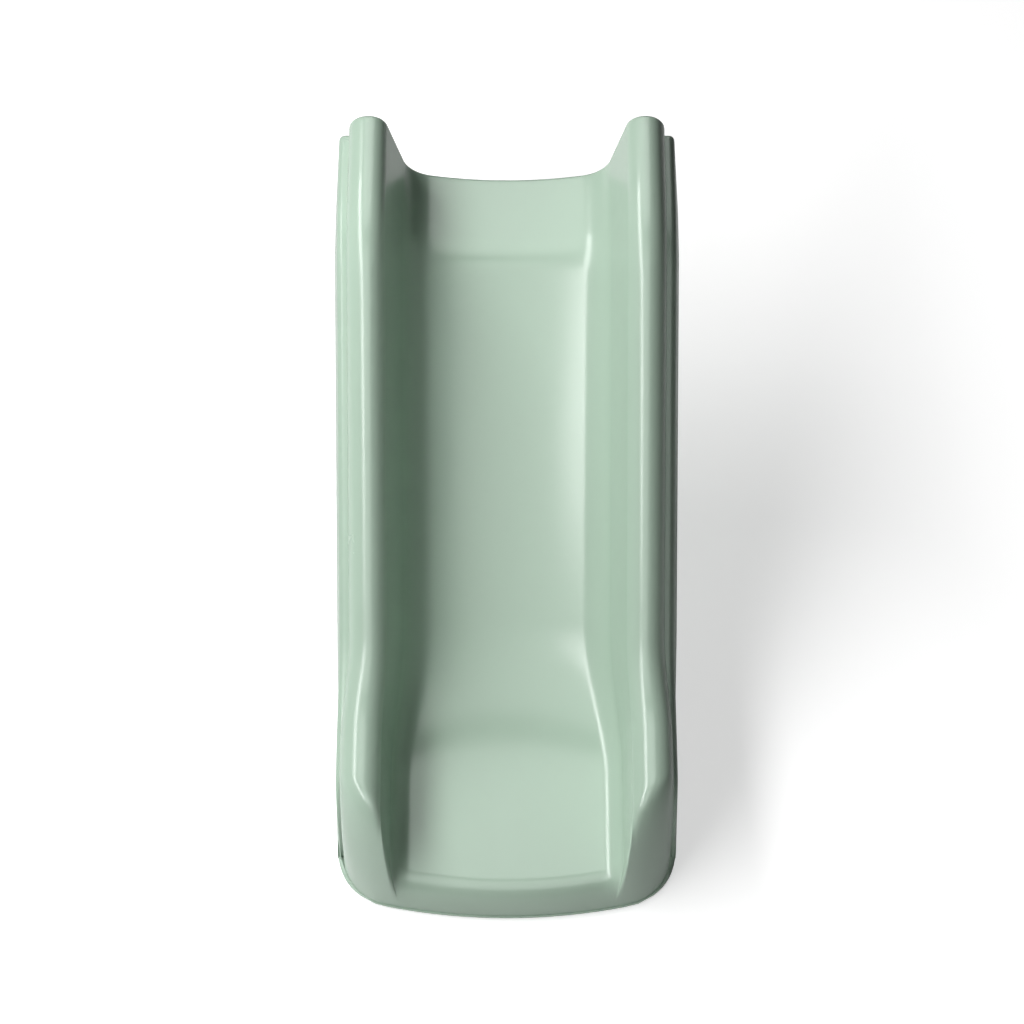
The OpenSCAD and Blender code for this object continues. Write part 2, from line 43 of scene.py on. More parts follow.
# ---- Sizes of the mouldings, in millimetres ----
DECK_H = 453.0
EXIT_H = 66.0
SLOPE_ANGLE = math.radians(38.0)
PLATFORM_LEN = 100.0
CREST_R = 75.0
EXIT_R = 338.0
EXIT_LEN = 180.0
RIM_OUTER_W = 428.0
RIM_H = 148.0
RIM_R = 26.5
WALL_LEAN = 14.0
EXIT_WALL_LEAN = 6.0
FILLET_R = 50.0
EXIT_FILLET_R = 30.0
DISH_R = 480.0
EXIT_DISH_R = 2400.0
FOOT_FLARE = 0.045
FRONT_ARC_R = 790.0
CORNER_R = 72.0
LIP_RUN = 34.0
NOSE_RUN = 70.0
NOSE_POWER = 0.94
FOOT_SEAM_H = 13.0
SHELL_T = 4.0
BASE_T = 5.0
SEAM_DROP = 44.0
RIM_DRAFT = 2.0
SHOULDER_OUT = 14.0
EXIT_SHOULDER_OUT = 6.0
SHOULDER_R = 8.5
LEDGE_W = 9.0
SEAM_STEP = 3.0
SEAM_GAP = 0.6
BASE_DRAFT = 4.0
EXIT_BASE_DRAFT = 1.0
BASE_EDGE_R = 18.0
EXIT_EDGE_R = 10.0
REAR_DEPTH = 86.0
CREST_DEPTH = 58.0
SLOPE_DEPTH = 48.0
REAR_EDGE_R = 6.0
REAR_LIP = 8.0
BOLT_DROP = 47.0
BULKHEAD_T = 20.0
PAD_T = 3.0
PAD_W = 120.0
PAD_LEN = 40.0
PAD_X = 125.0
PAD_IN = 95.0
PAD_CORNER = 8.0
STEM_PITCH = 72.0
STEM_R = 4.0
BARB_GRIP = 1.2
BARB_H = 3.0
STEM_FIT = 0.1
SCREW_R = 2.2
SCREW_HEAD_R = 4.6
SCREW_LEN = 28.0
SCREW_SINK = 0.3
SCREW_X = 105.0
SIDE_RISE = 9.0
PLATFORM_FORMER_IN = 72.0
EXIT_FORMER_IN = 8.0
FORMER_T = 12.0
SLOPE_FORMERS = 4
BOLT_DX = 300.0
BOLT_DZ = 34.0
INSERT_BORE_R = 4.0
INSERT_R = 6.5
INSERT_LEN = 16.0
CURL_RUN = 14.0
FOOT_LEDGE = BASE_T + 1.5
FLOOR_G = 40.0
NOSE_SPREAD = 14.0
FORMER_FIT = 0.5

# ---- Side line of the sliding surface ----
DECK_Z = BOLT_DROP
EXIT_Z = DECK_Z - (DECK_H - EXIT_H)
GROUND_Z = EXIT_Z - EXIT_H
SIN_S = math.sin(SLOPE_ANGLE)
COS_S = math.cos(SLOPE_ANGLE)
SLOPE_LEN = (DECK_H - EXIT_H - (CREST_R + EXIT_R) * (1 - COS_S)) / SIN_S
CREST_ARC = CREST_R * SLOPE_ANGLE
EXIT_ARC = EXIT_R * SLOPE_ANGLE
S_LEVEL = BULKHEAD_T
S_CREST = PLATFORM_LEN - REAR_EDGE_R
S_SLOPE = S_CREST + CREST_ARC
S_BEND = S_SLOPE + SLOPE_LEN
S_EXIT = S_BEND + EXIT_ARC
CREST_Y = -PLATFORM_LEN
SLOPE_Y = CREST_Y - CREST_R * SIN_S
BEND_Y = SLOPE_Y - SLOPE_LEN * COS_S
EXIT_Y = BEND_Y - EXIT_R * SIN_S
FRONT_Y = EXIT_Y - EXIT_LEN


def lerp(a, b, t):
    return a + (b - a) * t


def smooth(t):
    c = min(1.0, max(0.0, t))
    return c * c * (3 - 2 * c)


def bed_at(s):
    """(y, z, fall) of the sliding surface at the arc length s."""
    if s < S_CREST:
        return -REAR_EDGE_R - s, DECK_Z, 0.0
    if s < S_SLOPE:
        a = (s - S_CREST) / CREST_R
        return CREST_Y - CREST_R * math.sin(a), DECK_Z - CREST_R * (1 - math.cos(a)), a
    if s < S_BEND:
        d = s - S_SLOPE
        return SLOPE_Y - d * COS_S, DECK_Z - CREST_R * (1 - COS_S) - d * SIN_S, SLOPE_ANGLE
    if s < S_EXIT:
        a = SLOPE_ANGLE - (s - S_BEND) / EXIT_R
        return EXIT_Y + EXIT_R * math.sin(a), EXIT_Z + EXIT_R * (1 - math.cos(a)), a
    return EXIT_Y - (s - S_EXIT), EXIT_Z, 0.0


def place(s, points):
    """Section points (x, h) set square to the sliding surface at s."""
    y, z, a = bed_at(s)
    x, h = points[:, 0], points[:, 1]
    return np.stack([x, y - h * math.sin(a), z + h * math.cos(a)], axis=1)


def exit_share(s):
    return smooth((s - S_BEND) / EXIT_ARC)


def flare(s):
    return 1 + FOOT_FLARE * exit_share(s)


def depth(s):
    if s < S_LEVEL:
        return REAR_DEPTH
    if s < S_CREST:
        return lerp(REAR_DEPTH, CREST_DEPTH, (s - S_LEVEL) / (S_CREST - S_LEVEL))
    if s < S_SLOPE:
        return lerp(CREST_DEPTH, SLOPE_DEPTH, (s - S_CREST) / CREST_ARC)
    return lerp(SLOPE_DEPTH, EXIT_H - PAD_T, exit_share(s))


# ---- Sections: half outlines from the middle outwards, as rows of (x, h, kind, share) ----
RIM_X = RIM_OUTER_W / 2 - RIM_R
RIM_C = RIM_H - RIM_R
SEAM_H = RIM_H - SEAM_DROP
DRAFT = math.radians(RIM_DRAFT)
SEAM_X = RIM_X + RIM_R * math.cos(DRAFT) + (RIM_C + RIM_R * math.sin(DRAFT) - SEAM_H) * math.tan(DRAFT)


def upper_half(s, bed_n=22, fillet_n=16, wall_n=24, rim_n=30, skirt_n=4):
    e = exit_share(s)
    lean = math.radians(lerp(WALL_LEAN, EXIT_WALL_LEAN, e))
    fr = lerp(FILLET_R, EXIT_FILLET_R, e)
    dr = 1 / lerp(1 / DISH_R, 1 / EXIT_DISH_R, e)
    top = (RIM_X - RIM_R * math.cos(lean), RIM_C + RIM_R * math.sin(lean))
    reach = top[0] * math.cos(lean) - top[1] * math.sin(lean)
    a = math.asin((dr * math.sin(lean) + reach - fr) / (dr - fr)) - lean
    c = ((dr - fr) * math.sin(a), dr - (dr - fr) * math.cos(a))
    foot = (c[0] + fr * math.cos(lean), c[1] - fr * math.sin(lean))
    rows = []
    for i in range(bed_n + 1):
        t = a * i / bed_n
        rows.append((dr * math.sin(t), dr * (1 - math.cos(t)), 0, 0.0))
    for i in range(1, fillet_n + 1):
        t = lerp(a, math.pi / 2 - lean, i / fillet_n)
        rows.append((c[0] + fr * math.sin(t), c[1] - fr * math.cos(t), 0, 0.0))
    for i in range(1, wall_n):
        u = i / wall_n
        rows.append((lerp(foot[0], top[0], u), lerp(foot[1], top[1], u), 1, u))
    for i in range(rim_n + 1):
        t = lerp(math.pi - lean, -DRAFT, i / rim_n)
        rows.append((RIM_X + RIM_R * math.cos(t), RIM_C + RIM_R * math.sin(t), 2, i / rim_n))
    end = rows[-1]
    for i in range(1, skirt_n + 1):
        u = i / skirt_n
        rows.append((lerp(end[0], SEAM_X, u), lerp(end[1], SEAM_H, u), 3, u))
    half = np.array(rows)
    half[:, 0] *= flare(s)
    return half


def lower_half(s, floor_n=10, edge_n=8, side_n=10, shoulder_n=8):
    k = depth(s)
    e = exit_share(s)
    draft = math.radians(lerp(BASE_DRAFT, EXIT_BASE_DRAFT, e))
    out = lerp(SHOULDER_OUT, EXIT_SHOULDER_OUT, e)
    h0 = SEAM_H - SEAM_GAP
    xs, hs = SEAM_X + out - SHOULDER_R, h0 - SHOULDER_R
    x1, h1 = xs + SHOULDER_R * math.cos(draft), hs + SHOULDER_R * math.sin(draft)
    r = lerp(BASE_EDGE_R, EXIT_EDGE_R, e)
    hw = -k + r + r * math.sin(draft)
    xc = x1 + (h1 - hw) * math.tan(draft) - r * math.cos(draft)
    rows = []
    for i in range(floor_n + 1):
        rows.append((xc * i / floor_n, -k, 0, i / floor_n))
    for i in range(1, edge_n + 1):
        t = lerp(-math.pi / 2, draft, i / edge_n)
        rows.append((xc + r * math.cos(t), -k + r + r * math.sin(t), 1, i / edge_n))
    for i in range(1, side_n + 1):
        h = lerp(hw, h1, i / side_n)
        rows.append((x1 + (h1 - h) * math.tan(draft), h, 2, i / side_n))
    for i in range(1, shoulder_n + 1):
        t = lerp(draft, math.pi / 2, i / shoulder_n)
        rows.append((xs + SHOULDER_R * math.cos(t), hs + SHOULDER_R * math.sin(t), 3, i / shoulder_n))
    rows.append((SEAM_X - LEDGE_W, h0, 4, 1.0))
    half = np.array(rows)
    half[:, 0] *= flare(s)
    return half


def full(half):
    """A half outline mirrored to the full width, left to right."""
    left = half[:0:-1].copy()
    left[:, 0] *= -1
    return np.vstack([left, half])


# ---- Plan of the foot: points by the direction they face, 0 forwards and 90 sideways ----
FOOT_X = SEAM_X * (1 + FOOT_FLARE)
CORNER_X = FOOT_X - CORNER_R
CORNER_G = math.degrees(math.asin(CORNER_X / (FRONT_ARC_R - CORNER_R)))
CORNER_Y = FRONT_Y + FRONT_ARC_R - (FRONT_ARC_R - CORNER_R) * math.cos(math.radians(CORNER_G))
SEAM_Z = GROUND_Z + FOOT_SEAM_H
RIM_G = 78.0
SIDE_G = 88.0
SHOULDER_G = 89.5
FRONT_EDGE = FRONT_ARC_R * math.sin(math.radians(CORNER_G))
SPREAD_FROM = 0.7 * FRONT_EDGE
FLOOR_EDGE = CORNER_X + CORNER_R * math.sin(math.radians(FLOOR_G))


def plan_g(x):
    """Direction in which the foot's plan lies x from the middle."""
    if x < FRONT_EDGE:
        return math.degrees(math.asin(x / FRONT_ARC_R))
    return math.degrees(math.asin((x - CORNER_X) / CORNER_R))


def nose_x(x):
    return x - NOSE_SPREAD * smooth((x - SPREAD_FROM) / (FRONT_EDGE - SPREAD_FROM))


def foot_plan(g, out):
    a = math.radians(g)
    if g < CORNER_G:
        r = FRONT_ARC_R + out
        return r * math.sin(a), FRONT_Y + FRONT_ARC_R - r * math.cos(a)
    r = CORNER_R + out
    return CORNER_X + r * math.sin(a), CORNER_Y - r * math.cos(a)


def upper_facing(p):
    kind, share = int(p[2]), p[3]
    if kind < 2:
        return plan_g(nose_x(min(abs(p[0]), FRONT_EDGE)))
    if kind == 2:
        return lerp(plan_g(FRONT_EDGE - NOSE_SPREAD), RIM_G, share)
    return lerp(RIM_G, 90.0, share)


def lower_facing(p):
    kind, share = int(p[2]), p[3]
    if kind == 0:
        return plan_g(FLOOR_EDGE * share)
    if kind == 1:
        return lerp(FLOOR_G, SIDE_G, share)
    if kind == 2:
        return lerp(SIDE_G, SHOULDER_G, share)
    if kind == 3:
        return lerp(SHOULDER_G, 90.0, share)
    return 90.0


def nose(p, x0, end, run, z_end, shift, u):
    """A point that leaves the level run at x0, a share u of the way down to its end on the foot's edge."""
    t = math.pi / 2 * u
    fore = math.sin(t) ** NOSE_POWER
    drop = 1 - max(0.0, math.cos(t)) ** NOSE_POWER
    return (
        lerp(x0, end[0], 1 - math.cos(t)),
        end[1] + run * (1 - fore) + shift,
        lerp(EXIT_Z + p[1], z_end, drop),
    )


def plan_end(p, g, out):
    x, y = foot_plan(g, out)
    return (-x if p[0] < 0 else x, y)


def upper_nose(p, u):
    run = lerp(LIP_RUN, NOSE_RUN, p[1] / RIM_H)
    return nose(p, p[0], plan_end(p, upper_facing(p), 0.0), run, SEAM_Z, 0.0, u)


SEAM_RUN = lerp(LIP_RUN, NOSE_RUN, SEAM_H / RIM_H)


def lower_nose(p, u):
    kind = int(p[2])
    low = EXIT_H - PAD_T
    run = lerp(CURL_RUN, SEAM_RUN, (p[1] + low) / (SEAM_H - SEAM_GAP + low))
    end = plan_end(p, lower_facing(p), SEAM_STEP - FOOT_LEDGE if kind == 4 else SEAM_STEP)
    x0 = end[0] if kind == 0 else lerp(end[0], p[0], p[3]) if kind == 1 else p[0]
    return nose(p, x0, end, run, SEAM_Z - SEAM_GAP, SEAM_GAP, u)


def outline_normals(o):
    ahead = np.vstack([o[1:, :2], o[-1:, :2]])
    behind = np.vstack([o[:1, :2], o[:-1, :2]])
    d = ahead - behind
    d /= np.linalg.norm(d, axis=1)[:, None]
    return np.stack([-d[:, 1], d[:, 0]], axis=1)


STATIONS = np.unique(
    np.concatenate(
        [
            np.linspace(0, S_LEVEL, 4),
            np.linspace(S_LEVEL, S_CREST, 8),
            np.linspace(S_CREST, S_SLOPE, 17),
            np.linspace(S_SLOPE, S_BEND, 25),
            np.linspace(S_BEND, S_EXIT, 29),
        ]
    )
)
REAR_TURN = np.linspace(1, 0, 7)[:-1]
LEVEL_TURN = np.linspace(0, 1, 11)[1:-1]
FOOT_START = EXIT_Y - EXIT_FORMER_IN - FORMER_T - 2 * FORMER_FIT
NOSE_TURN = np.linspace(0, 1, 33)


def rear_rows(outline, inward):
    """The rounded rear edge, from the flat rear face to the first full section."""
    n = outline_normals(outline) * inward
    rows = []
    for u in REAR_TURN:
        w = REAR_EDGE_R * (1 - math.cos(math.pi / 2 * u))
        y = -REAR_EDGE_R + REAR_EDGE_R * math.sin(math.pi / 2 * u)
        x = outline[:, 0] + w * n[:, 0]
        z = DECK_Z + outline[:, 1] + w * n[:, 1]
        rows.append(np.stack([x, np.full_like(x, y), z], axis=1))
    return rows


def front_rows(end, roll, first_y):
    """The level run from first_y, in which points draw in, and the roll down to the foot's edge."""
    rows = []
    start = np.array([roll(p, 0.0) for p in end])
    for u in LEVEL_TURN:
        x = lerp(end[:, 0], start[:, 0], smooth(u))
        rows.append(np.stack([x, lerp(first_y, start[:, 1], u), EXIT_Z + end[:, 1]], axis=1))
    for u in NOSE_TURN:
        rows.append(np.array([roll(p, float(u)) for p in end]))
    return rows


EASE_R = 4.5
EASE_REACH = 26.0
EASE_STEP = 0.5
EASE_LEAST = 0.3
EASE_ONSET = 2.5
EASE_END_POWER = 8


def eased(row, at, radius):
    """A row of points with its fold at one column rounded to about the radius."""
    steps = np.linalg.norm(np.diff(row, axis=0), axis=1)
    run = np.concatenate([[0.0], np.cumsum(steps)])
    fine = np.arange(0.0, run[-1], EASE_STEP)
    dense = np.stack([np.interp(fine, run, row[:, k]) for k in range(3)], axis=1)
    out = row.copy()
    for j, s in enumerate(run):
        near = abs(s - run[at]) / EASE_REACH
        if near < 1:
            weight = np.exp(-0.5 * ((fine - s) / radius) ** 2)
            out[j] = lerp(weight @ dense / weight.sum(), row[j], smooth(near))
    return out


def upper_grid():
    rear = full(upper_half(0.0))
    n = outline_normals(rear)
    w = REAR_EDGE_R + REAR_LIP
    x = rear[:, 0] - w * n[:, 0]
    lip = np.stack([x, np.zeros_like(x), DECK_Z + rear[:, 1] - w * n[:, 1]], axis=1)
    rows = [lip] + rear_rows(rear, -1.0)
    rows += [place(s, full(upper_half(s))) for s in STATIONS]
    end = full(upper_half(S_EXIT))
    rows += front_rows(end, upper_nose, EXIT_Y)
    folds = [j for j in range(1, len(end)) if {int(end[j - 1, 2]), int(end[j, 2])} == {1, 2}]
    first = len(rows) - len(NOSE_TURN)
    for i, u in enumerate(NOSE_TURN):
        radius = EASE_R * smooth(EASE_ONSET * u) * (1 - u**EASE_END_POWER)
        if radius > EASE_LEAST:
            for at in folds:
                rows[first + i] = eased(rows[first + i], at, radius)
    return np.array(rows)


def lower_grid():
    rear = full(lower_half(0.0))
    rows = rear_rows(rear, 1.0)
    rows += [place(s, full(lower_half(s))) for s in STATIONS]
    end = full(lower_half(S_EXIT))
    for u in (0.5, 1.0):
        y = np.full(len(end), lerp(EXIT_Y, FOOT_START, u))
        rows.append(np.stack([end[:, 0], y, EXIT_Z + end[:, 1]], axis=1))
    rows += front_rows(end, lower_nose, FOOT_START)
    return np.array(rows)


def thickened(grid, t, level_edge):
    """The hidden side of a moulding: every point moved t under the seen side."""
    di = np.empty_like(grid)
    di[1:-1] = grid[2:] - grid[:-2]
    di[0] = grid[1] - grid[0]
    di[-1] = grid[-1] - grid[-2]
    dj = np.empty_like(grid)
    dj[:, 1:-1] = grid[:, 2:] - grid[:, :-2]
    dj[:, 0] = grid[:, 1] - grid[:, 0]
    dj[:, -1] = grid[:, -1] - grid[:, -2]
    n = np.cross(di, dj)
    n /= np.linalg.norm(n, axis=2)[:, :, None]
    inner = grid - t * n
    if level_edge:
        inner[-1, :, 2] = grid[-1, :, 2]
        inner[:, 0] = grid[:, 0] + np.array([abs(t), 0, 0])
        inner[:, -1] = grid[:, -1] - np.array([abs(t), 0, 0])
    else:
        inner[-1, 1:-1, 2] = grid[-1, 1:-1, 2]
    inner[0] = grid[0] - np.array([0, abs(t), 0])
    return inner


def mesh_object(name, verts, faces):
    mesh = bpy.data.meshes.new(name)
    mesh.from_pydata([tuple(v) for v in verts], [], faces)
    mesh.update()
    obj = bpy.data.objects.new(name, mesh)
    bpy.context.scene.collection.objects.link(obj)
    return obj


def shade(obj, angle=40.0):
    """Smooth faces, with edges sharper than the angle kept crisp."""
    bm = bmesh.new()
    bm.from_mesh(obj.data)
    bmesh.ops.recalc_face_normals(bm, faces=bm.faces)
    for face in bm.faces:
        face.smooth = True
    limit = math.radians(angle)
    for edge in bm.edges:
        edge.smooth = len(edge.link_faces) == 2 and edge.calc_face_angle(0.0) < limit
    bm.to_mesh(obj.data)
    bm.free()


def moulding(name, grid, t, level_edge):
    """A closed sheet of plastic from its seen side."""
    inner = thickened(grid, t, level_edge)
    rows, cols = grid.shape[:2]
    count = rows * cols
    verts = np.vstack([grid.reshape(-1, 3), inner.reshape(-1, 3)]) * MM
    at = np.arange(count).reshape(rows, cols)
    faces = []
    for i in range(rows - 1):
        for j in range(cols - 1):
            a, b, c, d = at[i, j], at[i, j + 1], at[i + 1, j + 1], at[i + 1, j]
            faces.append((a, b, c, d))
            faces.append((count + a, count + d, count + c, count + b))
    for j in range(cols - 1):
        for i, turn in ((0, 1), (rows - 1, -1)):
            a, b = at[i, j], at[i, j + 1]
            faces.append((b, a, count + a, count + b)[::turn])
    for i in range(rows - 1):
        for j, turn in ((0, 1), (cols - 1, -1)):
            a, b = at[i, j], at[i + 1, j]
            faces.append((a, b, count + b, count + a)[::turn])
    obj = mesh_object(name, verts, [tuple(int(v) for v in f) for f in faces])
    shade(obj)
    return obj


def soften_edges(obj, width, segments=3):
    bevel = obj.modifiers.new("edge_round", "BEVEL")
    bevel.width = width
    bevel.segments = segments
    bevel.limit_method = "ANGLE"
    bevel.angle_limit = math.radians(50)
    bevel.harden_normals = False


# ---- Material helpers ----
def new_material(name):
    mat = bpy.data.materials.new(name)
    mat.use_nodes = True
    tree = mat.node_tree
    shader = tree.nodes["Principled BSDF"]
    return mat, tree, shader


def node(tree, kind, **values):
    made = tree.nodes.new(kind)
    for key, value in values.items():
        setattr(made, key, value)
    return made


def ramp(tree, source, stops, interpolation="LINEAR"):
    made = tree.nodes.new("ShaderNodeValToRGB")
    made.color_ramp.interpolation = interpolation
    items = made.color_ramp.elements
    while len(items) < len(stops):
        items.new(0.5)
    for item, (at, value) in zip(items, stops):
        item.position = at
        item.color = value if isinstance(value, tuple) else (value, value, value, 1.0)
    tree.links.new(source, made.inputs["Fac"])
    return made.outputs["Color"]


def math_node(tree, kind, a, b=None, clamp=False):
    made = node(tree, "ShaderNodeMath", operation=kind, use_clamp=clamp)
    for socket, value in zip(made.inputs, (a, b)):
        if value is None:
            continue
        if isinstance(value, (int, float)):
            socket.default_value = value
        else:
            tree.links.new(value, socket)
    return made.outputs[0]


def mix_colour(tree, share, a, b, blend="MIX"):
    made = node(tree, "ShaderNodeMix", data_type="RGBA", blend_type=blend)
    sockets = [s for s in made.inputs if s.enabled]
    for socket, value in zip(sockets, (share, a, b)):
        if isinstance(value, (int, float, tuple)):
            socket.default_value = value
        else:
            tree.links.new(value, socket)
    return [s for s in made.outputs if s.enabled][0]


def noise(tree, coords, scale, detail=3.0, rough=0.5):
    made = node(tree, "ShaderNodeTexNoise")
    made.inputs["Scale"].default_value = scale
    made.inputs["Detail"].default_value = detail
    made.inputs["Roughness"].default_value = rough
    tree.links.new(coords, made.inputs["Vector"])
    return made.outputs["Fac"]


def stretched(tree, coords, scale):
    made = node(tree, "ShaderNodeMapping")
    made.inputs["Scale"].default_value = scale
    tree.links.new(coords, made.inputs["Vector"])
    return made.outputs["Vector"]


def new_group(name, inputs, outputs):
    group = bpy.data.node_groups.new(name, "ShaderNodeTree")
    for label, kind, value in inputs:
        socket = group.interface.new_socket(label, in_out="INPUT", socket_type=kind)
        if value is not None:
            socket.default_value = value
    for label, kind in outputs:
        group.interface.new_socket(label, in_out="OUTPUT", socket_type=kind)
    start = group.nodes.new("NodeGroupInput")
    end = group.nodes.new("NodeGroupOutput")
    return group, start.outputs, end.inputs


VALUE = "NodeSocketFloat"
COLOUR = "NodeSocketColor"
VECTOR = "NodeSocketVector"


def scaled_noise(tree, coords, scale_socket, detail, factor=1.0):
    made = node(tree, "ShaderNodeTexNoise")
    made.inputs["Detail"].default_value = detail
    tree.links.new(math_node(tree, "MULTIPLY", scale_socket, factor), made.inputs["Scale"])
    tree.links.new(coords, made.inputs["Vector"])
    return made.outputs["Fac"]


def build_tone_drift():
    """Slow, faint change of tone over a surface, as pigment and handling give."""
    group, given, out = new_group(
        "tone_drift",
        [("Coords", VECTOR, None), ("Colour", COLOUR, None), ("Scale", VALUE, 6.0), ("Amount", VALUE, 0.1)],
        [("Colour", COLOUR), ("Mask", VALUE)],
    )
    cloud = scaled_noise(group, given["Coords"], given["Scale"], 4.0)
    fine = scaled_noise(group, given["Coords"], given["Scale"], 2.0, 9.0)
    broad = math_node(group, "MULTIPLY", cloud, 0.75)
    close = math_node(group, "MULTIPLY", fine, 0.25)
    both = math_node(group, "ADD", broad, close)
    centred = math_node(group, "SUBTRACT", both, 0.5)
    shift = math_node(group, "MULTIPLY", centred, given["Amount"])
    gain = math_node(group, "ADD", 1.0, shift)
    scale = node(group, "ShaderNodeVectorMath", operation="SCALE")
    group.links.new(given["Colour"], scale.inputs[0])
    group.links.new(gain, scale.inputs["Scale"])
    group.links.new(scale.outputs["Vector"], out["Colour"])
    group.links.new(both, out["Mask"])
    return group


WORN_FROM = 0.58


def build_edge_wear():
    """1 along worn convex edges, broken up by noise."""
    group, given, out = new_group(
        "edge_wear",
        [("Coords", VECTOR, None), ("Sharpness", VALUE, 8.0), ("Breakup", VALUE, 60.0)],
        [("Mask", VALUE)],
    )
    geometry = node(group, "ShaderNodeNewGeometry")
    raised = math_node(group, "SUBTRACT", geometry.outputs["Pointiness"], WORN_FROM)
    edge = math_node(group, "MULTIPLY", raised, given["Sharpness"], clamp=True)
    broken = scaled_noise(group, given["Coords"], given["Breakup"], 4.0)
    mask = math_node(group, "MULTIPLY", edge, math_node(group, "MULTIPLY", broken, 1.4), clamp=True)
    group.links.new(mask, out["Mask"])
    return group


RUBBED_FROM = 0.68
PATCHES_FROM = 0.42
RIDDEN_FROM = 0.55


def build_scuffs():
    """Fine rubbed lines that run along the slide, on the faces that are slid on."""
    group, given, out = new_group(
        "scuffs",
        [("Coords", VECTOR, None), ("Density", VALUE, 1.0), ("Width", VALUE, 0.03)],
        [("Mask", VALUE)],
    )
    long_lines = stretched(group, given["Coords"], (420.0, 5.0, 5.0))
    made = node(group, "ShaderNodeTexNoise")
    made.inputs["Scale"].default_value = 1.0
    made.inputs["Detail"].default_value = 2.0
    group.links.new(long_lines, made.inputs["Vector"])
    patches = noise(group, given["Coords"], 7.0, 2.0)
    least = math_node(group, "SUBTRACT", RUBBED_FROM, given["Width"])
    line = math_node(group, "SUBTRACT", made.outputs["Fac"], least)
    sharp = math_node(group, "MULTIPLY", line, 6.0, clamp=True)
    inside = math_node(group, "SUBTRACT", patches, PATCHES_FROM)
    gate = math_node(group, "MULTIPLY", inside, 5.0, clamp=True)
    facing = node(group, "ShaderNodeSeparateXYZ")
    group.links.new(node(group, "ShaderNodeNewGeometry").outputs["Normal"], facing.inputs[0])
    upward = math_node(group, "SUBTRACT", facing.outputs["Z"], RIDDEN_FROM)
    ridden = math_node(group, "MULTIPLY", upward, 5.0, clamp=True)
    mask = math_node(group, "MULTIPLY", math_node(group, "MULTIPLY", sharp, gate), ridden)
    group.links.new(math_node(group, "MULTIPLY", mask, given["Density"], clamp=True), out["Mask"])
    return group


def build_fine_grain():
    """Height of a fine moulded or cast surface."""
    group, given, out = new_group(
        "fine_grain",
        [("Coords", VECTOR, None), ("Scale", VALUE, 900.0), ("Ripple", VALUE, 40.0)],
        [("Height", VALUE)],
    )
    pebble = scaled_noise(group, given["Coords"], given["Scale"], 2.0)
    ripple = scaled_noise(group, given["Coords"], given["Ripple"], 2.0)
    low_pebble = math_node(group, "MULTIPLY", pebble, 0.3)
    low_ripple = math_node(group, "MULTIPLY", ripple, 0.7)
    height = math_node(group, "ADD", low_pebble, low_ripple)
    group.links.new(height, out["Height"])
    return group


TONE_DRIFT = build_tone_drift()
EDGE_WEAR = build_edge_wear()
SCUFFS = build_scuffs()
FINE_GRAIN = build_fine_grain()


def use_group(tree, group, coords, **values):
    made = tree.nodes.new("ShaderNodeGroup")
    made.node_tree = group
    tree.links.new(coords, made.inputs["Coords"])
    for key, value in values.items():
        socket = made.inputs[key]
        if isinstance(value, (int, float, tuple)):
            socket.default_value = value
        else:
            tree.links.new(value, socket)
    return made.outputs


def object_coords(tree):
    return node(tree, "ShaderNodeTexCoord").outputs["Object"]


def bump(tree, shader, height, strength, distance):
    made = node(tree, "ShaderNodeBump")
    made.inputs["Strength"].default_value = strength
    made.inputs["Distance"].default_value = distance
    tree.links.new(height, made.inputs["Height"])
    tree.links.new(made.outputs["Normal"], shader.inputs["Normal"])


def moulded_plastic(name, colour, rough, scuffed):
    mat, tree, shader = new_material(name)
    coords = object_coords(tree)
    drift = use_group(tree, TONE_DRIFT, coords, Colour=colour, Scale=5.0, Amount=0.06)
    wear = use_group(tree, EDGE_WEAR, coords, Sharpness=5.0, Breakup=70.0)["Mask"]
    lines = use_group(tree, SCUFFS, coords, Density=scuffed, Width=0.03)["Mask"]
    pale = tuple(min(1.0, c * 1.22) for c in colour[:3]) + (1.0,)
    worn = mix_colour(tree, math_node(tree, "MULTIPLY", wear, 0.22), drift["Colour"], pale)
    tree.links.new(worn, shader.inputs["Base Color"])
    handled = math_node(tree, "MULTIPLY", math_node(tree, "SUBTRACT", drift["Mask"], 0.5), 0.22)
    base = math_node(tree, "ADD", handled, rough)
    dulled = math_node(tree, "ADD", base, math_node(tree, "MULTIPLY", lines, 0.06))
    tree.links.new(dulled, shader.inputs["Roughness"])
    grain = use_group(tree, FINE_GRAIN, coords, Scale=1100.0, Ripple=38.0)["Height"]
    bump(tree, shader, grain, 0.08, 0.0004)
    shader.inputs["IOR"].default_value = 1.5
    shader.inputs["Specular IOR Level"].default_value = 0.5
    return mat


BIRCH_DARK = (0.46, 0.33, 0.19, 1.0)
BIRCH_MIDDLE = (0.62, 0.47, 0.29, 1.0)
BIRCH_PALE = (0.7, 0.55, 0.36, 1.0)
BIRCH_WORN = (0.76, 0.64, 0.46, 1.0)
CROSS_PLY = (0.34, 0.22, 0.12, 1.0)


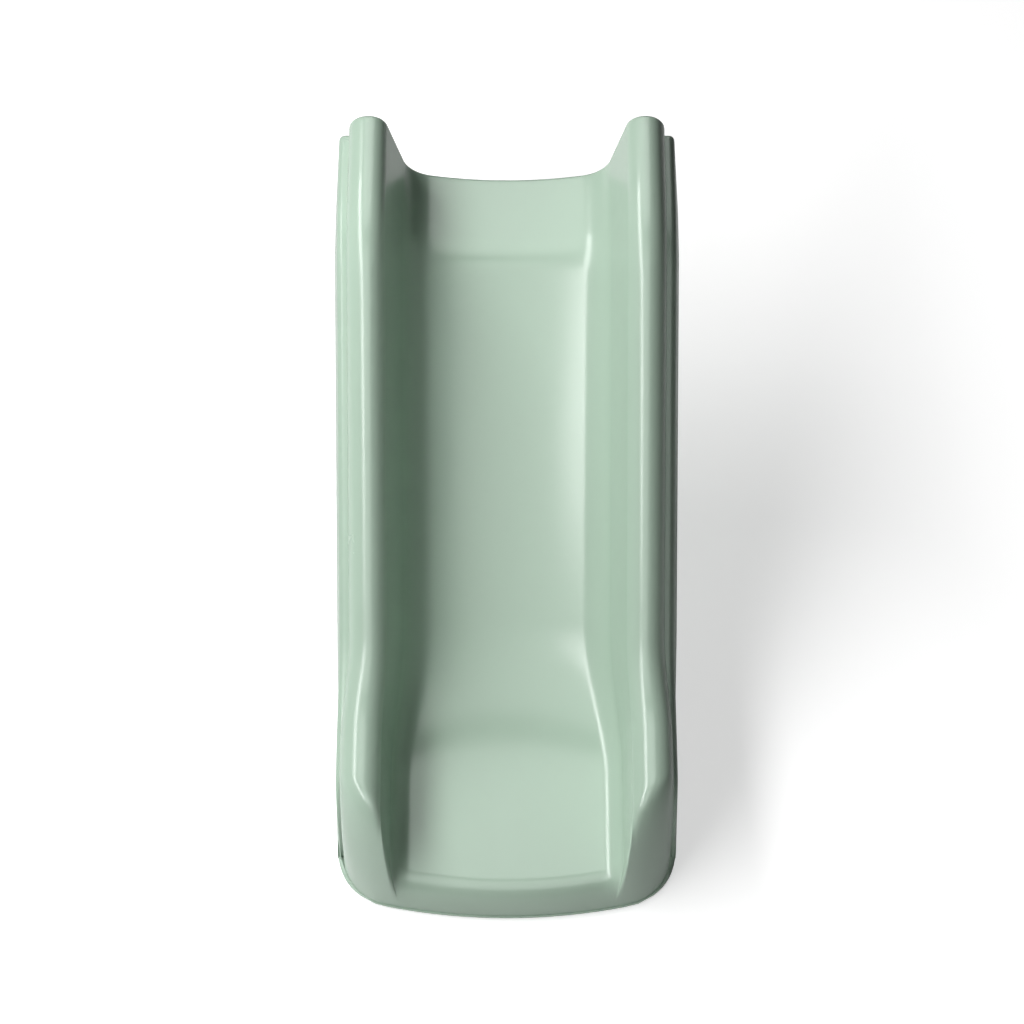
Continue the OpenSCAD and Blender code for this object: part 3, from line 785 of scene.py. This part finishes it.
def plywood(name):
    mat, tree, shader = new_material(name)
    coords = object_coords(tree)
    swirl = node(tree, "ShaderNodeTexNoise")
    swirl.inputs["Scale"].default_value = 1.0
    swirl.inputs["Detail"].default_value = 8.0
    swirl.inputs["Distortion"].default_value = 0.8
    tree.links.new(stretched(tree, coords, (4.0, 60.0, 70.0)), swirl.inputs["Vector"])
    veneer = ramp(tree, swirl.outputs["Fac"], [(0.3, BIRCH_DARK), (0.55, BIRCH_MIDDLE), (0.75, BIRCH_PALE)])
    plies = node(tree, "ShaderNodeTexWave", wave_type="BANDS", bands_direction="Y", wave_profile="TRI")
    plies.inputs["Scale"].default_value = 55.0
    plies.inputs["Distortion"].default_value = 0.6
    tree.links.new(coords, plies.inputs["Vector"])
    every_other = math_node(tree, "SUBTRACT", plies.outputs["Fac"], 0.5)
    dark_ply = math_node(tree, "MULTIPLY", every_other, 3.0, clamp=True)
    normal = node(tree, "ShaderNodeNewGeometry").outputs["Normal"]
    split = node(tree, "ShaderNodeSeparateXYZ")
    tree.links.new(normal, split.inputs[0])
    face_on = math_node(tree, "ABSOLUTE", split.outputs["Y"])
    cut = math_node(tree, "LESS_THAN", face_on, 0.5)
    layered = mix_colour(tree, math_node(tree, "MULTIPLY", dark_ply, cut), veneer, CROSS_PLY)
    wear = use_group(tree, EDGE_WEAR, coords, Sharpness=6.0, Breakup=90.0)["Mask"]
    tree.links.new(mix_colour(tree, wear, layered, BIRCH_WORN), shader.inputs["Base Color"])
    tree.links.new(ramp(tree, swirl.outputs["Fac"], [(0.3, 0.72), (0.7, 0.55)]), shader.inputs["Roughness"])
    bump(tree, shader, swirl.outputs["Fac"], 0.35, 0.0006)
    return mat


def metal(name, colour, rough, brushed):
    mat, tree, shader = new_material(name)
    coords = object_coords(tree)
    drift = use_group(tree, TONE_DRIFT, coords, Colour=colour, Scale=90.0, Amount=0.3)
    tree.links.new(drift["Colour"], shader.inputs["Base Color"])
    lines = noise(tree, stretched(tree, coords, brushed), 1.0, 3.0)
    brushing = math_node(tree, "MULTIPLY", lines, 0.2)
    tree.links.new(math_node(tree, "ADD", brushing, rough), shader.inputs["Roughness"])
    shader.inputs["Metallic"].default_value = 1.0
    bump(tree, shader, lines, 0.2, 0.0002)
    return mat


RUBBER_BLACK = (0.028, 0.028, 0.03, 1.0)
RUBBER_WORN = (0.09, 0.09, 0.09, 1.0)


def rubber(name):
    mat, tree, shader = new_material(name)
    coords = object_coords(tree)
    drift = use_group(tree, TONE_DRIFT, coords, Colour=RUBBER_BLACK, Scale=30.0, Amount=0.5)
    wear = use_group(tree, EDGE_WEAR, coords, Sharpness=6.0, Breakup=200.0)["Mask"]
    tree.links.new(mix_colour(tree, wear, drift["Colour"], RUBBER_WORN), shader.inputs["Base Color"])
    grain = use_group(tree, FINE_GRAIN, coords, Scale=2200.0, Ripple=300.0)["Height"]
    tree.links.new(ramp(tree, grain, [(0.3, 0.72), (0.7, 0.9)]), shader.inputs["Roughness"])
    bump(tree, shader, grain, 0.5, 0.0005)
    return mat


CHUTE_GREEN = (0.352, 0.46, 0.374, 1.0)
BASE_GREEN = (0.332, 0.436, 0.354, 1.0)
BRASS = (0.72, 0.5, 0.22, 1.0)
ZINC = (0.6, 0.61, 0.63, 1.0)
chute_plastic = moulded_plastic("sage_chute_finish", CHUTE_GREEN, 0.23, 0.5)
base_plastic = moulded_plastic("sage_base_finish", BASE_GREEN, 0.3, 0.3)
board_wood = plywood("birch_ply_finish")
insert_brass = metal("turned_brass_finish", BRASS, 0.24, (300.0, 900.0, 300.0))
screw_steel = metal("zinc_steel_finish", ZINC, 0.28, (700.0, 700.0, 200.0))
pad_rubber = rubber("black_rubber_finish")


def finish_with(obj, mat):
    obj.data.materials.clear()
    obj.data.materials.append(mat)


# ---- Screws, inserts and pads ----
def grid_faces(rows, cols, wrap):
    """Quads of a grid of points, closed round its columns when wrap is set."""
    faces = []
    for i in range(rows - 1):
        for j in range(cols if wrap else cols - 1):
            k = (j + 1) % cols
            faces.append((i * cols + j, i * cols + k, (i + 1) * cols + k, (i + 1) * cols + j))
    return faces


def turned(profile, around, ridge=None):
    """A closed turned solid: (r, z) pairs swept about z, each radius lowered by ridge(r, z, angle)."""
    verts, faces = [], grid_faces(len(profile), around, True)
    for r, z in profile:
        for j in range(around):
            a = 2 * math.pi * j / around
            rr = r - (ridge(r, z, a) if ridge else 0.0)
            verts.append((rr * math.cos(a), rr * math.sin(a), z))
    last = (len(profile) - 1) * around
    faces.append(tuple(range(around))[::-1])
    faces.append(tuple(last + j for j in range(around)))
    return np.array(verts), faces


def tooth(t):
    return abs(2 * (t - math.floor(t)) - 1)


HEAD_H = SCREW_HEAD_R - SCREW_R
THREAD_PITCH = 2.0
THREAD_DEPTH = 0.55
RECESS_HALF_W = 0.5
RECESS_REACH = 2.5
RECESS_DEPTH = 1.5
RECESS_EDGE = 0.35
RECESS_TAPER = 0.35
SHANK_LEN = 3.0
TIP_LEN = 7.0
FACE_RINGS = (4.3, 3.6, 3.0, 2.7, 2.4, 2.1, 1.7, 1.3, 1.0, 0.75, 0.5, 0.25)


def screw_ridge(r, z, angle):
    if z > -HEAD_H - SHANK_LEN or r < 0.5:
        return 0.0
    return min(THREAD_DEPTH, r * 0.4) * tooth(z / THREAD_PITCH + angle / (2 * math.pi))


def screw_shape():
    """A countersunk wood screw with a cross recess: face at z = 0, tip at z = -SCREW_LEN."""
    profile = [(0.15, -SCREW_LEN)]
    steps = 64
    for i in range(1, steps + 1):
        z = lerp(-SCREW_LEN, -HEAD_H - SHANK_LEN, i / steps)
        profile.append((SCREW_R * min(1.0, (z + SCREW_LEN) / TIP_LEN) ** 0.7, z))
    profile += [(SCREW_R, -HEAD_H), (SCREW_HEAD_R - 0.25, -0.25), (SCREW_HEAD_R - 0.05, -0.08)]
    around = 40
    verts, faces = turned(profile, around, screw_ridge)
    faces = faces[:-1]
    rows = [verts]
    base = len(verts)
    for r in FACE_RINGS:
        ring = []
        for j in range(around):
            a = 2 * math.pi * j / around
            x, y = r * math.cos(a), r * math.sin(a)
            arm = max(min(abs(x), abs(y)) - RECESS_HALF_W, max(abs(x), abs(y)) - RECESS_REACH)
            bottom = RECESS_DEPTH * (1 - RECESS_TAPER * min(1.0, r / RECESS_REACH))
            sink = bottom * smooth(0.5 - arm / RECESS_EDGE)
            ring.append((x, y, -sink))
        rows.append(np.array(ring))
    start = base - around
    for i, j, k, m in grid_faces(len(FACE_RINGS) + 1, around, True):
        faces.append((start + i, start + j, start + k, start + m))
    last = base + (len(FACE_RINGS) - 1) * around
    faces.append(tuple(last + j for j in range(around)))
    return np.vstack(rows), faces


def frame_at(place_mm, outward):
    """A matrix, in metres, that stands +z along the outward direction at a place given in millimetres."""
    turn = Vector(outward).normalized().to_track_quat("Z", "Y").to_matrix().to_4x4()
    return Matrix.Translation(Vector(place_mm) * MM) @ turn @ Matrix.Scale(MM, 4)


def copies(name, shape, frames, angle=35.0):
    """One object that holds a copy of the shape in every frame."""
    verts, faces = shape
    points, polys = [], []
    for m in frames:
        shift = len(points)
        points += [tuple(m @ Vector(v)) for v in verts]
        polys += [tuple(shift + i for i in f) for f in faces]
    obj = mesh_object(name, points, polys)
    shade(obj, angle)
    return obj


def in_section(s, x, h):
    y, z, a = bed_at(s)
    return (x, y - h * math.sin(a), z + h * math.cos(a))


def section_way(s, x, h):
    a = bed_at(s)[2]
    return (x, -h * math.sin(a), h * math.cos(a))


PLATFORM_S = PLATFORM_FORMER_IN - REAR_EDGE_R
EXIT_S = S_EXIT + FORMER_T / 2 + EXIT_FORMER_IN
SLOPE_SS = [S_SLOPE + SLOPE_LEN * (i + 0.5) / SLOPE_FORMERS for i in range(SLOPE_FORMERS)]
SIDE_H = SEAM_H + SIDE_RISE
RIM_FACE = SEAM_X - SIDE_RISE * math.tan(DRAFT)
BULKHEAD_SCREW_Y = -(REAR_EDGE_R + BULKHEAD_T) / 2

side_frames = []
for side in (-1, 1):
    way = (side * math.cos(DRAFT), math.sin(DRAFT))
    for s in [PLATFORM_S] + SLOPE_SS + [EXIT_S]:
        x = side * (flare(s) * RIM_FACE - SCREW_SINK)
        side_frames.append(frame_at(in_section(s, x, SIDE_H), section_way(s, *way)))
    spot = (side * (RIM_FACE - SCREW_SINK), BULKHEAD_SCREW_Y, DECK_Z + SIDE_H)
    side_frames.append(frame_at(spot, (way[0], 0, way[1])))
floor_frames = []
for side in (-1, 1):
    for s in SLOPE_SS + [EXIT_S]:
        spot = in_section(s, side * SCREW_X, -depth(s) + SCREW_SINK)
        floor_frames.append(frame_at(spot, section_way(s, 0, -1)))
    spot = (side * SCREW_X, BULKHEAD_SCREW_Y, DECK_Z - REAR_DEPTH + SCREW_SINK)
    floor_frames.append(frame_at(spot, (0, 0, -1)))

BORE_PITCH = 1.25
BORE_DEPTH = 0.45
COARSE_PITCH = 3.0
COARSE_DEPTH = 1.0
INSERT_COLLAR = 1.5
BORE_STEPS = 72


def insert_shape():
    """A threaded insert: face at z = 0, coarse thread outside and fine thread in the bore."""
    steps = 48
    outer = [(INSERT_R, 0.0), (INSERT_R, -INSERT_COLLAR)]
    outer += [(INSERT_R, lerp(-INSERT_COLLAR, -INSERT_LEN + 1, i / steps)) for i in range(1, steps + 1)]
    outer += [(INSERT_R - 0.9, -INSERT_LEN)]
    bore = [(INSERT_BORE_R, lerp(-INSERT_LEN, -0.6, i / BORE_STEPS)) for i in range(BORE_STEPS + 1)]
    bore += [(INSERT_BORE_R + 0.5, 0.0)]
    around = 48
    verts = []
    for part, pitch, sunk in ((outer, COARSE_PITCH, COARSE_DEPTH), (bore, BORE_PITCH, -BORE_DEPTH)):
        for r, z in part:
            plain = z > -1.6 if sunk > 0 else z > -0.7
            for j in range(around):
                a = 2 * math.pi * j / around
                cut = 0.0 if plain else sunk * tooth(z / pitch + a / (2 * math.pi))
                rr = r - cut if sunk > 0 else r + cut
                verts.append((rr * math.cos(a), rr * math.sin(a), z))
    rows = len(outer) + len(bore)
    faces = grid_faces(rows, around, True)
    last = (rows - 1) * around
    for j in range(around):
        k = (j + 1) % around
        faces.append((last + j, last + k, k, j))
    return np.array(verts), faces


insert_frames = [
    frame_at((x * BOLT_DX / 2, 0, z * BOLT_DZ / 2), (0, 1, 0)) for x in (-1, 1) for z in (-1, 1)
]

GROOVES = 9
GROOVE_DEPTH = 0.9
PAD_EDGE = 0.6


def pad_shape():
    """A foot pad: grooved sole at z = 0, rounded top edge, and its two barbed stems."""
    cols, across = 181, 9
    half_w, half_l = PAD_W / 2, PAD_LEN / 2
    rows = []
    for top in (0, 1, 2):
        for i in range(cols):
            x = lerp(-half_w, half_w, i / (cols - 1))
            over = max(0.0, abs(x) - (half_w - PAD_CORNER))
            half = half_l - PAD_CORNER + math.sqrt(max(0.0, PAD_CORNER**2 - over**2))
            if top == 2:
                x *= 1 - PAD_EDGE / half_w
                half -= PAD_EDGE
            groove = 0.5 - 0.5 * math.cos(2 * math.pi * GROOVES * (x + half_w) / PAD_W)
            z = (GROOVE_DEPTH * smooth(2.5 * groove - 1.0), PAD_T - PAD_EDGE, PAD_T)[top]
            rows.append([(x, lerp(-half, half, j / (across - 1)), z) for j in range(across)])
    grid = np.array(rows).reshape(3, cols, across, 3)
    verts = grid.reshape(-1, 3)
    at = np.arange(3 * cols * across).reshape(3, cols, across)
    faces = []
    for i in range(cols - 1):
        for j in range(across - 1):
            faces.append((at[0, i, j], at[0, i, j + 1], at[0, i + 1, j + 1], at[0, i + 1, j]))
            faces.append((at[2, i, j], at[2, i + 1, j], at[2, i + 1, j + 1], at[2, i, j + 1]))
    for low, high in ((at[0], at[1]), (at[1], at[2])):
        for i in range(cols - 1):
            for j in (0, across - 1):
                faces.append((low[i, j], low[i + 1, j], high[i + 1, j], high[i, j]))
        for j in range(across - 1):
            for i in (0, cols - 1):
                faces.append((low[i, j], low[i, j + 1], high[i, j + 1], high[i, j]))
    points = [verts]
    shift = len(verts)
    barb = STEM_R + BARB_GRIP
    foot = PAD_T + BASE_T + STEM_FIT
    profile = [(STEM_R + 0.6, PAD_T - 0.3), (STEM_R, PAD_T + 0.02), (STEM_R, foot), (barb - 0.2, foot)]
    profile += [(barb, foot + 0.3), (STEM_R, foot + BARB_H - 0.3), (STEM_R - 0.5, foot + BARB_H - 0.1)]
    for side in (-1, 1):
        stem, stem_faces = turned(profile, 36)
        stem[:, 0] += side * STEM_PITCH / 2
        points.append(stem)
        faces += [tuple(shift + i for i in f) for f in stem_faces]
        shift += len(stem)
    return np.vstack(points), [tuple(int(i) for i in f) for f in faces]


def pad_frame(side):
    spot = Vector((side * PAD_X, FRONT_Y + PAD_IN, GROUND_Z)) * MM
    return Matrix.Translation(spot) @ Matrix.Scale(MM, 4)


for name, shape, frames, mat, node_name, slot_name in (
    ("side_screw_set", screw_shape(), side_frames, screw_steel, "side_screws", "screw_steel"),
    ("floor_screw_set", screw_shape(), floor_frames, screw_steel, "floor_screws", "screw_steel"),
    ("insert_set", insert_shape(), insert_frames, insert_brass, "deck_inserts", "insert_brass"),
    ("left_foot_pad", pad_shape(), [pad_frame(-1)], pad_rubber, "foot_pad_left", "pad_rubber"),
    ("right_foot_pad", pad_shape(), [pad_frame(1)], pad_rubber, "foot_pad_right", "pad_rubber"),
):
    piece = copies(name, shape, frames)
    finish_with(piece, mat)
    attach(piece, "root")
    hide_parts(node_name)

# ---- The two mouldings ----
CHUTE_EDGE_R = 0.7
BASE_LIP_R = 0.8
SCREW_FIT = 0.3
HOLE_R = SCREW_HEAD_R + SCREW_FIT
SCREW_HOLE = turned(
    [(SCREW_R + SCREW_FIT, -12.0), (SCREW_R + SCREW_FIT, -HEAD_H - 0.4), (HOLE_R, -0.4), (HOLE_R, 3.0)], 40
)
STEM_HOLE = turned([(STEM_R + STEM_FIT, -2.0), (STEM_R + STEM_FIT, BASE_T + 2.0)], 40)
stem_frames = [
    frame_at((side * PAD_X + way * STEM_PITCH / 2, FRONT_Y + PAD_IN, GROUND_Z + PAD_T), (0, 0, 1))
    for side in (-1, 1)
    for way in (-1, 1)
]


def drilled(obj, *drills):
    """The object's rounded mesh with holes cut through it."""
    for i, (shape, frames) in enumerate(drills):
        cutter = copies("drill_%d" % i, shape, frames)
        cut = obj.modifiers.new("cut_%d" % i, "BOOLEAN")
        cut.operation = "DIFFERENCE"
        cut.solver = "EXACT"
        cut.object = cutter
    graph = bpy.context.evaluated_depsgraph_get()
    mesh = bpy.data.meshes.new_from_object(obj.evaluated_get(graph))
    for mod in list(obj.modifiers):
        if mod.type == "BOOLEAN":
            bpy.data.objects.remove(mod.object)
    obj.modifiers.clear()
    obj.data = mesh
    shade(obj, 30.0)


chute = moulding("chute_moulding", upper_grid(), SHELL_T, True)
soften_edges(chute, CHUTE_EDGE_R * MM)
drilled(chute, (SCREW_HOLE, side_frames))
finish_with(chute, chute_plastic)
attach(chute, "root")
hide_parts("chute_shell")

base = moulding("base_moulding", lower_grid(), -BASE_T, False)
soften_edges(base, BASE_LIP_R * MM)
drilled(base, (SCREW_HOLE, floor_frames), (STEM_HOLE, stem_frames))
finish_with(base, base_plastic)
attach(base, "root")
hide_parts("under_shell")

# ---- Boards kept from the frame ----
boards = ["platform_former", "exit_former", "rear_bulkhead"]
boards += ["slope_former_%d" % (i + 1) for i in range(SLOPE_FORMERS)]
for name in boards:
    cad = nodes[name]
    if not cad.data.materials:
        cad.data.materials.append(board_wood)
    for slot in cad.material_slots:
        slot.material = board_wood

# ---- Studio ----
scene = bpy.context.scene
scene.view_settings.view_transform = "Standard"
FLOOR_HALF = 9
FLOOR_GREY = (0.8, 0.8, 0.8, 1.0)
FLOOR_LIFT = 0.48
WHITE = (1.0, 1.0, 1.0, 1.0)
WORLD_STRENGTH = 0.05
floor_corners = [(x * FLOOR_HALF, y * FLOOR_HALF) for x, y in ((-1, -1), (1, -1), (1, 1), (-1, 1))]
floor = mesh_object("studio_floor", [(x, y, GROUND_Z * MM) for x, y in floor_corners], [(0, 1, 2, 3)])
floor_mat, floor_tree, floor_shader = new_material("floor_paint")
floor_shader.inputs["Base Color"].default_value = FLOOR_GREY
floor_shader.inputs["Roughness"].default_value = 0.9
floor_shader.inputs["Specular IOR Level"].default_value = 0.1
floor_shader.inputs["Emission Color"].default_value = WHITE
seen = node(floor_tree, "ShaderNodeLightPath").outputs["Is Camera Ray"]
lift = math_node(floor_tree, "MULTIPLY", seen, FLOOR_LIFT)
floor_tree.links.new(lift, floor_shader.inputs["Emission Strength"])
finish_with(floor, floor_mat)

world = bpy.data.worlds.new("studio")
world.use_nodes = True
background = world.node_tree.nodes["Background"].inputs
background["Color"].default_value = WHITE
background["Strength"].default_value = WORLD_STRENGTH
scene.world = world

MIDDLE = Vector((0.0, -0.45, -0.1))


def softbox(name, offset, size, power):
    """An area light at an offset from the middle of the slide, facing it."""
    data = bpy.data.lights.new(name, "AREA")
    data.shape = "RECTANGLE"
    data.size, data.size_y = size
    data.energy = power
    lamp = bpy.data.objects.new(name, data)
    lamp.location = MIDDLE + Vector(offset)
    lamp.rotation_euler = (-Vector(offset)).to_track_quat("-Z", "Y").to_euler()
    lamp.visible_camera = False
    scene.collection.objects.link(lamp)
    return lamp


def sheen_panel(name, offset, size, brightness):
    """A panel that is seen only in the gloss of the plastic."""
    lamp = softbox(name, offset, size, brightness * math.pi * size[0] * size[1])
    lamp.visible_diffuse = False


def soft_sun(name, towards, strength, spread):
    """Even light from one side that fills shadows, casts none and is kept out of the gloss."""
    data = bpy.data.lights.new(name, "SUN")
    data.energy = strength
    data.angle = math.radians(spread)
    data.use_shadow = False
    lamp = bpy.data.objects.new(name, data)
    lamp.rotation_euler = (-Vector(towards)).to_track_quat("-Z", "Y").to_euler()
    lamp.visible_glossy = False
    scene.collection.objects.link(lamp)


softbox("long_strip", (-1.35, -0.15, 2.0), (4.2, 0.6), 92.0)
soft_sun("side_fill", (-1.2, -0.35, 1.0), 0.72, 40.0)
sheen_panel("rear_sheen", (0.0, 0.95, 1.8), (1.3, 1.9), 3.0)
sheen_panel("front_sheen", (0.0, -1.45, 2.0), (1.4, 2.4), 2.4)

LENS = 123.28
CAMERA_X = 0.00702
CAMERA_Y = -2.8691
CAMERA_H = 4.4131
CAMERA_DOWN = 59.509
camera_data = bpy.data.cameras.new("camera")
camera_data.sensor_width = 36.0
camera_data.lens = LENS
camera = bpy.data.objects.new("camera", camera_data)
camera.location = (CAMERA_X, CAMERA_Y, CAMERA_H + GROUND_Z * MM)
camera.rotation_euler = (math.radians(90 - CAMERA_DOWN), 0.0, 0.0)
scene.collection.objects.link(camera)
scene.camera = camera
